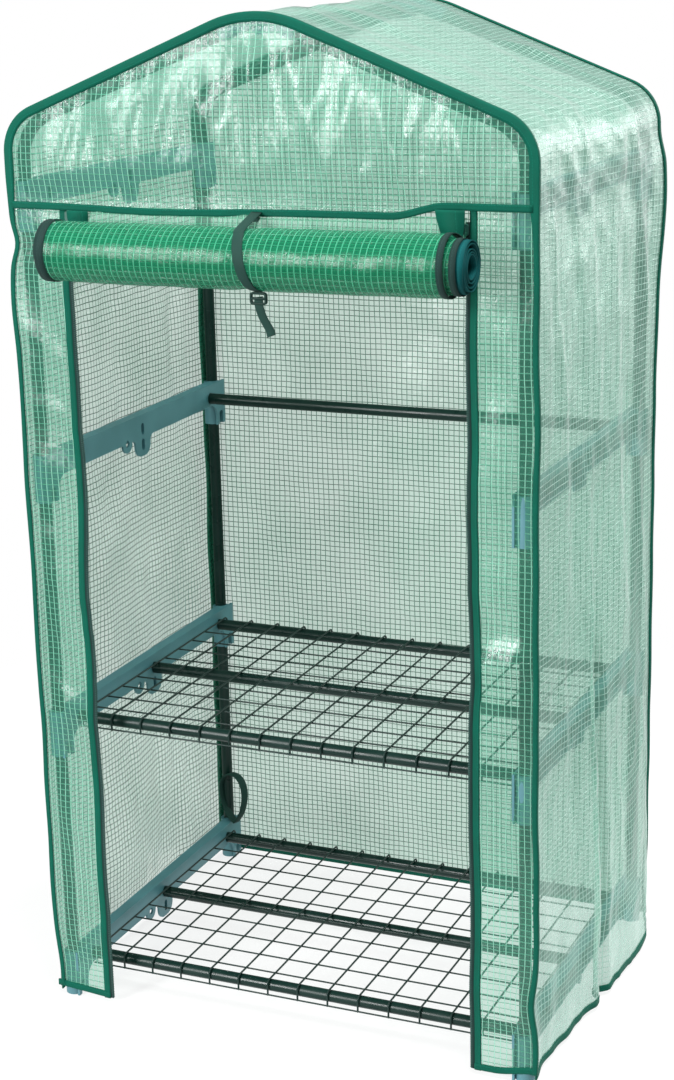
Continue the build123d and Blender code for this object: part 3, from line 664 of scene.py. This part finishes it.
def arch_tape(name, end):
    """Binding along the outline of the front or back, from one lower corner to the other."""
    face_y = FRONT_Y if end < 0 else BACK_Y
    out = Vector((0, -end, 0))
    steps = 260
    stations = []
    for i in range(-steps, steps + 1):
        side = -1 if i < 0 else 1
        s = WRAP_LENGTH * (1 - abs(i) / steps)
        x, z, out_x, out_z = section(s)
        low_z = strip_low_z(side, x) if end < 0 and s < 0.04 else HEM_Z
        z = max(z, low_z)
        shift = corner_shift(side, end, z)
        origin = Vector((side * (x - out_x * shift), face_y, z))
        across = Vector((-side * out_x, 0, -out_z))
        width = CORNER_TAPE_W + (ARCH_TAPE_W - CORNER_TAPE_W) * smooth(*TAPE_WIDENS_Z, z)
        width += 0.0005 * ripple(s * 14, end + side, 71.0)
        stations.append((origin, across, out, corner_section(width, FRONT_LEG if end < 0 else BACK_LEG)))
    return swept_mesh(name, stations, BINDING)


UPWARDS = Vector((0, 0, 1))
FORWARDS = Vector((0, -1, 0))
BACKWARDS = Vector((0, 1, 0))


def flat_run(name, points, across, out, width):
    return swept_mesh(name, [(p, across, out, flat_section(width)) for p in points], BINDING)


def header_tape():
    reach = WALL_X - ARCH_TAPE_W * 0.6
    points = []
    for x in spaced(-reach, reach, 120):
        y = FRONT_Y - 0.0012 - 0.0006 * ripple(x * 30, 0, 73.0)
        points.append(Vector((x, y, header_z(x) - EDGE_TAPE_W / 2)))
    return flat_run("binding_header", points, UPWARDS, FORWARDS, EDGE_TAPE_W)


def door_edge_tape(name, side):
    """Binding of a front strip's inner edge, down the side of the doorway."""
    points = []
    for z in spaced(header_z(side * DOOR_X) - EDGE_TAPE_W * 0.4, HEM_Z, 150):
        x = side * door_edge_x(side, z)
        y = FRONT_Y + FILM_INSET - strip_push(side, x, min(z, HEADER_Z))
        points.append(Vector((x, y, z)))
    return flat_run(name, points, Vector((side, 0, 0)), FORWARDS, EDGE_TAPE_W)


def strip_hem_tape(name, side):
    points = []
    for from_middle in spaced(DOOR_X, WALL_X - 0.001, 30):
        x = side * from_middle
        z = strip_low_z(side, x)
        y = FRONT_Y + FILM_INSET - strip_push(side, x, z) - 0.0004
        points.append(Vector((x, y, z)))
    return flat_run(name, points, UPWARDS, FORWARDS, HEM_TAPE_W)


def side_hem_tape(name, side):
    stations = []
    for y in spaced(FRONT_Y + 0.001, BACK_Y - 0.001, 110):
        here = wrap_point(side, 0.0, y)
        above = wrap_point(side, 0.012, y)
        ahead = wrap_point(side, 0.0, y + 0.002) - wrap_point(side, 0.0, y - 0.002)
        across = (above - here).normalized()
        out = ahead.cross(across).normalized() * -side
        stations.append((here, across, out * side, flat_section(HEM_TAPE_W)))
    return swept_mesh(name, stations, BINDING)


def back_hem_tape():
    reach = WALL_X - 0.001
    points = [Vector((x, BACK_Y - FILM_INSET, HEM_Z)) for x in spaced(-reach, reach, 100)]
    return flat_run("binding_back_hem", points, UPWARDS, BACKWARDS, HEM_TAPE_W)


# -------------------------------------------- the rolled door
ROLL_TURNS = 7.0
ROLL_STEPS = 56                          # points round one turn
#            (turn, share of the roll's radius)
ROLL_SHAPE = ((0.0, 1.0), (0.75, 0.985), (1.3, 0.88), (2.2, 0.80), (7.0, 0.36))
OUTER_TURN_R = ROLL_R - 0.0007           # leaves room for the sheet's unevenness
GRID_SKEW = 0.0135                       # how far each turn's grid is shifted from the last one's
ROLL_LEFT_X = ROLL_LOW.x
ROLL_RIGHT_X = ROLL_HIGH.x - 0.010


def roll_radius(turn, x):
    """Radius of the rolled sheet: tight after the first turn, and pinched by the tie."""
    r = OUTER_TURN_R * curve_through(ROLL_SHAPE, turn)
    r *= 1 - 0.055 * bell(TIE_X, 0.014, x)
    return r + 0.0007 * ripple(x * 9, turn * 4.5, 81.0) + 0.0004 * ripple(x * 40, turn * 9, 83.0)


def roll_centre_z(x):
    """The ties draw the roll up close under the seam, a little less at its middle."""
    return ROLL_Z + 0.0035 - 0.001 * math.cos(math.pi * x / (ROLL_RIGHT_X - ROLL_LEFT_X))


def roll_point(turn, x):
    """The sheet comes down behind the roll, passes under it, and winds forward and up."""
    turned = 2 * math.pi * turn
    r = roll_radius(turn, x)
    return Vector((x, ROLL_Y + r * math.cos(turned), roll_centre_z(x) - r * math.sin(turned)))


#            (turn, how far that turn has slipped to the right)
RIGHT_SLIP = ((0.75, 0.0), (1.05, 0.013), (2.0, 0.014), (2.6, 0.022))
LEFT_SLIP = ((0.8, 0.0), (1.3, 0.005), (4.0, 0.009))


def roll_right_end(turn):
    return ROLL_RIGHT_X + curve_through(RIGHT_SLIP, turn)


def roll_left_end(turn):
    return ROLL_LEFT_X + curve_through(LEFT_SLIP, turn)


def roll_length(turn):
    """Length of sheet wound up to this turn."""
    steps = max(1, int(turn * ROLL_STEPS))
    run = sum(curve_through(ROLL_SHAPE, turn * (i + 0.5) / steps) for i in range(steps))
    return 2 * math.pi * OUTER_TURN_R * run * turn / steps


def door_sheet():
    rows = int(ROLL_TURNS * ROLL_STEPS)
    lengths = [roll_length(ROLL_TURNS * j / rows) for j in range(rows + 1)]

    def place(u, v):
        turn = ROLL_TURNS * v
        start, end = roll_left_end(turn), roll_right_end(turn)
        x = start + (end - start) * u
        return roll_point(turn, x), (x - GRID_SKEW * turn, lengths[round(v * rows)])
    return sheet_mesh("door_rolled", place, 96, rows, ROLL_FILM), lengths[-1]


def roll_band(name, first_turn, last_turn, end_x, direction, width, material):
    """Tape along an end of the rolled sheet, on its outer face."""
    band = [(0.0, -0.0004), (0.0, 0.0008), (width / 2, 0.0010), (width, 0.0008), (width, -0.0004)]
    stations = []
    for turn in spaced(first_turn, last_turn, int((last_turn - first_turn) * ROLL_STEPS)):
        x = end_x(turn) + direction * 0.0005
        origin = roll_point(turn, x)
        radial = (origin - Vector((x, ROLL_Y, roll_centre_z(x)))).normalized()
        stations.append((origin, Vector((-direction, 0, 0)), radial, band))
    return swept_mesh(name, stations, material)


def header_sheet_y(z):
    """The door hangs from the seam and leans out to the back of its roll."""
    reach = smooth(HEADER_Z, ROLL_Z + 0.004, z)
    return FRONT_Y - 0.0012 + (ROLL_Y + ROLL_R - FRONT_Y) * reach


def door_header():
    top, bottom = HEADER_Z - 0.001, ROLL_Z + 0.0015

    def place(u, v):
        x = ROLL_LEFT_X + (ROLL_RIGHT_X - ROLL_LEFT_X) * u
        z = bottom + (top - bottom) * v
        wave = 0.0012 * ripple(x * 20, z * 12, 85.0) * smooth(0, 0.4, v) * smooth(1, 0.7, v)
        return Vector((x, header_sheet_y(z) - wave, z)), (x, z)
    return sheet_mesh("door_hanging_part", place, 80, 40, DOOR_FILM), top - bottom


def smooth_path(points, steps=8):
    """Curve through given points."""
    points = [Vector(p) for p in points]
    padded = [2 * points[0] - points[1]] + points + [2 * points[-1] - points[-2]]
    path = []
    for before, start, end, after in zip(padded, padded[1:], padded[2:], padded[3:]):
        for i in range(steps):
            t = i / steps
            squared = (2 * before - 5 * start + 4 * end - after) * t ** 2
            cubed = (3 * start - before - 3 * end + after) * t ** 3
            path.append(0.5 * (2 * start + (end - before) * t + squared + cubed))
    return path + [points[-1]]


def strap(name, path, wide, width, thickness, material, closed_path=False):
    """Flat webbing along a path, its width along the given direction."""
    half, t = width / 2, thickness / 2
    profile = [(-half, -t * 0.4), (-half * 0.9, -t), (half * 0.9, -t), (half, -t * 0.4),
               (half, t * 0.4), (half * 0.9, t), (-half * 0.9, t), (-half, t * 0.4)]
    stations = []
    last = len(path) - 1
    for i, point in enumerate(path):
        before = path[i - 1] if closed_path or i else path[0]
        after = path[(i + 1) % len(path)] if closed_path or i < last else path[last]
        along = (after - before).normalized()
        across = (wide - along * wide.dot(along)).normalized()
        stations.append((point, across, across.cross(along), profile))
    return swept_mesh(name, stations, material, closed_path)


def door_edge_flap(name, side, end_x, slant, wide):
    """Zip tape and binding of the door, folded over between the seam and the roll."""
    stations = []
    top = header_z(end_x) - 0.003
    for v in spaced(0.0, 1.0, 14):
        z = top + (ROLL_Z + 0.012 - top) * v
        x = end_x - side * (0.006 + slant * v)
        width = wide - 0.010 * smooth(0.0, 1.0, v)
        y = min(header_sheet_y(z) - 0.0022, FRONT_Y - 0.0072)
        turned = Vector((math.cos(0.35 * v), -side * math.sin(0.35 * v), 0))
        crease = 0.0016 * math.sin(math.pi * v)
        half = width / 2
        profile = [(-half, -0.0006), (-half * 0.2, -0.0006 - crease), (half, -0.0006),
                   (half, 0.0006), (-half * 0.2, 0.0006 - crease), (-half, 0.0006)]
        stations.append((Vector((x, y, z)), turned, BACKWARDS, profile))
    return swept_mesh(name, stations, BINDING)


def on_roll(angle, x, lift=0.0014):
    """Point of a strap lying on the roll: 0 degrees on top, 90 at the front, 180 underneath."""
    turned = math.radians(angle)
    r = roll_radius(0.4, x) + lift
    return (x, ROLL_Y - r * math.sin(turned), roll_centre_z(x) + r * math.cos(turned))


def tie_straps():
    wide = Vector((1, 0, -0.05))
    front = [(TIE_X - 0.010, FRONT_Y - 0.0035, HEADER_Z - 0.002)]
    front += [on_roll(a, TIE_X - 0.007 + 0.021 * a / 170) for a in range(10, 171, 20)]
    behind_z = 1.050                     # where the tie passes behind the hanging part
    back = [(TIE_X - 0.012, FRONT_Y - 0.0015, HEADER_Z - 0.006),
            (TIE_X - 0.020, header_sheet_y(behind_z) + 0.002, behind_z)]
    back += [on_roll(a, TIE_X + shift, 0.0022) for a, shift in
             ((262, -0.018), (240, -0.010), (220, 0.0), (200, 0.008), (184, 0.010))]
    low_z = ROLL_Z - ROLL_R
    tail = [(TIE_X + 0.013, ROLL_Y - 0.004, low_z - 0.003), (TIE_X + 0.015, ROLL_Y - 0.007, low_z - 0.014),
            (TIE_X + 0.019, ROLL_Y - 0.006, low_z - 0.027), (TIE_X + 0.026, ROLL_Y - 0.004, low_z - 0.041),
            (TIE_X + 0.029, ROLL_Y - 0.006, low_z - 0.048)]
    return [strap("roll_tie_front", smooth_path(front), wide, TIE_W - 0.001, 0.0013, WEBBING),
            strap("roll_tie_back", smooth_path(back), wide, TIE_W - 0.001, 0.0013, WEBBING),
            strap("roll_tie_tail", smooth_path(tail), wide, TIE_W - 0.003, 0.0013, WEBBING)]


def slide_buckle():
    """Three-bar slide: an outer frame and a middle bar, all rounded."""
    centre = Vector((TIE_X + 0.014, ROLL_Y - 0.006, ROLL_Z - ROLL_R - 0.0045))
    half_w, half_h, thick = 0.0095, 0.0062, 0.0014
    ring = []
    for i in range(32):
        turned = 2 * math.pi * (i + 0.5) / 32
        c, s = math.cos(turned), math.sin(turned)
        ring.append(centre + Vector((half_w * math.copysign(abs(c) ** 0.35, c), 0.0,
                                     half_h * math.copysign(abs(s) ** 0.35, s))))
    bar = [centre + Vector((x / 8 * half_w, -0.0006, 0)) for x in range(-8, 9)]
    return [strap("tie_slide_frame", ring, BACKWARDS, 0.0034, 2 * thick, BUCKLE_PLASTIC, True),
            strap("tie_slide_bar", bar, UPWARDS, 0.0030, 2 * thick, BUCKLE_PLASTIC)]


#             (across, up) from the loop's middle
LOOP_SHAPE = ((0.006, -0.040), (0.020, -0.019), (0.027, 0.008), (0.023, 0.029), (0.009, 0.039),
              (-0.010, 0.036), (-0.022, 0.019), (-0.021, -0.006), (-0.010, -0.030))


def corner_loop():
    """Webbing loop at the foot of the back left post, hanging open and turned half to the front."""
    strap_low, strap_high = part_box("corner_strap")
    mid = (strap_low + strap_high) / 2 + Vector((0.005, -0.010, 0.0))
    facing = math.radians(-21)
    across = Vector((math.cos(facing), math.sin(facing), 0))
    wide = Vector((-math.sin(facing), math.cos(facing), 0))
    closed = LOOP_SHAPE + LOOP_SHAPE[:1]
    path = smooth_path([mid + across * (a + 0.004) + UPWARDS * up for a, up in closed])
    return strap("corner_loop", path[:-1], wide, 0.0135, 0.0015, WEBBING, True)


# -------------------------------------------- the doorway's zips
ZIP_TOP_Z = HEADER_Z - 0.006
TOOTH_PITCH = 0.0025
#              (out from the root, half height, half depth)
TOOTH_SHAPE = ((0.0, 0.0006, 0.0010), (0.0020, 0.0008, 0.0013), (0.0032, 0.0005, 0.0008))


def zip_line(side, z):
    x = side * door_edge_x(side, z)
    return Vector((x, FRONT_Y + FILM_INSET - strip_push(side, x, z), z))


def zip_tape(name, side):
    profile = [(-0.001, -0.0006), (ZIP_TAPE_W, -0.0005), (ZIP_TAPE_W, 0.0005), (-0.001, 0.0006)]
    stations = []
    for z in spaced(ZIP_TOP_Z, HEM_Z + 0.001, 160):
        stations.append((zip_line(side, z), Vector((-side, 0, 0)), FORWARDS, profile))
    return swept_mesh(name, stations, ZIP_WEAVE)


def zip_teeth(name, side):
    """Moulded teeth on the tape's free edge: one small wedge each pitch."""
    verts, faces = [], []
    count = int((ZIP_TOP_Z - HEM_Z - 0.004) / TOOTH_PITCH)
    for i in range(count):
        z = HEM_Z + 0.003 + i * TOOTH_PITCH
        root = zip_line(side, z) + Vector((-side * (ZIP_TAPE_W - 0.0022), 0, 0))
        start = len(verts)
        for out, half_z, half_y in TOOTH_SHAPE:
            for dz, dy in ((-1, -1), (1, -1), (1, 1), (-1, 1)):
                verts.append(root + Vector((-side * out, dy * half_y, dz * half_z)))
        for ring in (0, 4):
            for k in range(4):
                after = (k + 1) % 4
                root_ring, tip_ring = start + ring, start + ring + 4
                faces.append((root_ring + k, root_ring + after, tip_ring + after, tip_ring + k))
        faces.append((start + 3, start + 2, start + 1, start))
        faces.append((start + 8, start + 9, start + 10, start + 11))
    return finish_mesh(name, verts, faces, [(0, 0)] * len(verts), ZIP_TEETH, False)


# -------------------------------------------- camera, light, floor
# the place, directions and lens that fit the frame's points in the photograph
CAMERA_PLACE = (1.0818, MID_Y - 2.5165, 1.3855)
CAMERA_FORWARD = (-0.38667, 0.88100, -0.27264)
CAMERA_RIGHT = (0.91802, 0.39589, -0.02273)
CAMERA_LENS = 70.8
ROOM_LIGHT = 0.42                        # brightness of the white room as light; it is seen as 1
LIGHTS = (                               # name, place, target, diameter, power
    ("key", (-1.45, -3.0, 2.1), (0, 0, 0.9), 1.15, 100),
    ("glint", (-1.35, -2.9, 1.1), (0, 0, 0.9), 0.40, 36),
    ("top", (0.9, -0.6, 3.6), (0, 0, 0.6), 1.6, 110),
    ("rim", (2.2, 2.6, 1.6), (0, 0, 0.6), 1.6, 90),
)
FLOOR_GLOW = 0.76                        # share of the floor's brightness that no shadow takes away
FLOOR_FADE = (0.75, 1.5)                 # distances between which the floor fades out
FLOOR_REACH = 2.2


def camera():
    data = bpy.data.cameras.new("camera")
    data.lens = CAMERA_LENS
    data.sensor_width = 36.0
    cam = bpy.data.objects.new("camera", data)
    forward = Vector(CAMERA_FORWARD).normalized()
    right = Vector(CAMERA_RIGHT)
    right = (right - forward * right.dot(forward)).normalized()
    up = right.cross(forward)
    turn = Matrix((right, up, -forward)).transposed().to_4x4()
    cam.matrix_world = Matrix.Translation(CAMERA_PLACE) @ turn
    bpy.context.scene.collection.objects.link(cam)
    bpy.context.scene.camera = cam


def area_light(name, place, target, size, power):
    data = bpy.data.lights.new(name, "AREA")
    data.shape = "DISK"
    data.size = size
    data.energy = power
    lamp = bpy.data.objects.new(name, data)
    lamp.location = place
    lamp.rotation_euler = (Vector(target) - Vector(place)).to_track_quat("-Z", "Y").to_euler()
    bpy.context.scene.collection.objects.link(lamp)


def white_room():
    """A world that is seen as plain white and lights the object less brightly."""
    world = bpy.data.worlds.new("studio")
    world.use_nodes = True
    tree = world.node_tree
    seen = tree.nodes.new("ShaderNodeLightPath").outputs["Is Camera Ray"]
    level = tree.nodes.new("ShaderNodeMapRange")
    level.inputs["To Min"].default_value = ROOM_LIGHT
    level.inputs["To Max"].default_value = 1.0
    tree.links.new(seen, level.inputs["Value"])
    background = tree.nodes["Background"]
    background.inputs["Color"].default_value = (1, 1, 1, 1)
    tree.links.new(level.outputs["Result"], background.inputs["Strength"])
    bpy.context.scene.world = world


def pale_floor():
    """A pale floor that takes the object's shadow and fades out round it."""
    s = Shader("pale_floor")
    place = s.object_place()
    tone = s.mix_colour(s.noise(place, 3.0), (0.87, 0.87, 0.87, 1), (0.90, 0.90, 0.90, 1))
    lit = s.node("ShaderNodeBsdfDiffuse", {"Color": tone}).outputs[0]
    glow = s.node("ShaderNodeEmission", {"Color": (1, 1, 1, 1), "Strength": 1.05}).outputs[0]
    matt = s.mix_shader(FLOOR_GLOW, lit, glow)
    far = s.node("ShaderNodeVectorMath", {0: place}, operation="LENGTH").outputs["Value"]
    nothing = s.node("ShaderNodeBsdfTransparent").outputs[0]
    material = s.show(s.mix_shader(s.ramp(far, *FLOOR_FADE), matt, nothing))
    corners = [(x * FLOOR_REACH, y * FLOOR_REACH, -0.0005) for x, y in ((-1, -1), (1, -1), (1, 1), (-1, 1))]
    floor = finish_mesh("floor", corners, [(0, 1, 2, 3)], [(0, 0)] * 4, material, False)


def studio():
    scene = bpy.context.scene
    scene.view_settings.view_transform = "Standard"
    scene.cycles.transparent_max_bounces = 48
    white_room()
    for light in LIGHTS:
        area_light(*light)
    pale_floor()


# -------------------------------------------- build
def stands_for(piece, nodes):
    if nodes:
        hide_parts(*nodes)
    return piece


def on_frame(piece, slot, *nodes):
    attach(piece, "frame")
    return stands_for(piece, nodes)


camera()
studio()

for name, side in SIDES.items():
    wall = wrap_panel(f"film_wall_{name}", side, 0.0, WALL_LENGTH, 180)
    on_frame(wall, "cover_mesh", f"cover_side_{name}")
    roof = wrap_panel(f"film_roof_{name}", side, WALL_LENGTH, WRAP_LENGTH, 84)
    on_frame(roof, "cover_mesh", f"cover_roof_{name}")
    strip = on_frame(strip_film(f"film_strip_{name}", side), "cover_mesh", f"front_strip_{name}")
    on_frame(door_edge_tape(f"binding_door_{name}", side), "binding", f"door_edge_binding_{name}")
    on_frame(strip_hem_tape(f"binding_strip_hem_{name}", side), "binding")
    on_frame(side_hem_tape(f"binding_side_hem_{name}", side), "binding", f"hem_{name}")
    on_frame(zip_tape(f"zip_tape_cloth_{name}", side), "zip_tape", f"zip_tape_{name}")
    on_frame(zip_teeth(f"zip_teeth_{name}", side), "zip_tape")

gable = on_frame(gable_film(), "cover_mesh", "front_gable")
back = on_frame(back_film(), "cover_mesh", "cover_back")
on_frame(arch_tape("binding_arch_front", -1), "binding", "arch_binding_front")
on_frame(arch_tape("binding_arch_back", 1), "binding", "arch_binding_back")
on_frame(header_tape(), "binding", "header_binding")
on_frame(back_hem_tape(), "binding", "hem_back")

STRAP_COUNT = 3


def on_door(piece, slot, *nodes):
    """Hangs a piece on the door with a mesh of its own, and hides the parts it stands for."""
    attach(piece, "door")
    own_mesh(piece)
    return stands_for(piece, nodes)


def between_frame_and_door(piece, slot, *nodes):
    """Cloth between the header seam and the roll, with its place baked into its mesh; hides the parts it
    stands for.
    """
    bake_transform(piece)
    return stands_for(piece, nodes)


rolled, rolled_length = door_sheet()
on_door(rolled, "door_mesh", "door_roll")
hanging, hanging_length = door_header()
between_frame_and_door(hanging, "door_mesh", "door_header")
on_door(roll_band("door_band_left", 0.0, 1.6, roll_left_end, -1, 0.013, ZIP_WEAVE), "zip_tape")
on_door(roll_band("door_band_right", 0.0, 1.9, roll_right_end, 1, 0.008, ZIP_WEAVE), "zip_tape")
on_door(roll_band("door_core_left", 1.6, ROLL_TURNS, roll_left_end, -1, 0.010, CORE_TAPE), "binding")
on_door(roll_band("door_core_right", 1.9, ROLL_TURNS, roll_right_end, 1, 0.012, CORE_TAPE), "binding")
between_frame_and_door(door_edge_flap("door_flap_left", -1, ROLL_LEFT_X + 0.010, 0.002, 0.029), "binding")
between_frame_and_door(door_edge_flap("door_flap_right", 1, ROLL_RIGHT_X - 0.013, -0.004, 0.036), "binding")

for k, piece in enumerate(tie_straps() + slide_buckle()):
    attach(piece, "frame")
    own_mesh(piece)
    if k == 0:
        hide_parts("roll_tie")
    if k == STRAP_COUNT:
        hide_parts("tie_buckle")
on_frame(corner_loop(), "webbing", "corner_strap")

CAD_LOOKS = (
    (("post_tubes", "roof_tube", "bar_", "ridge_bar"), TUBE_PAINT),
    (("bracket_", "apex_connector"), BRACKET_PLASTIC),
    (("shelf_",), WIRE_PAINT),
    (("zip_slider",), ZIP_METAL),
)
for node_name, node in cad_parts.items():
    for starts, material in CAD_LOOKS:
        if node_name.startswith(starts):
            node.data.materials.clear()
            node.data.materials.append(material)
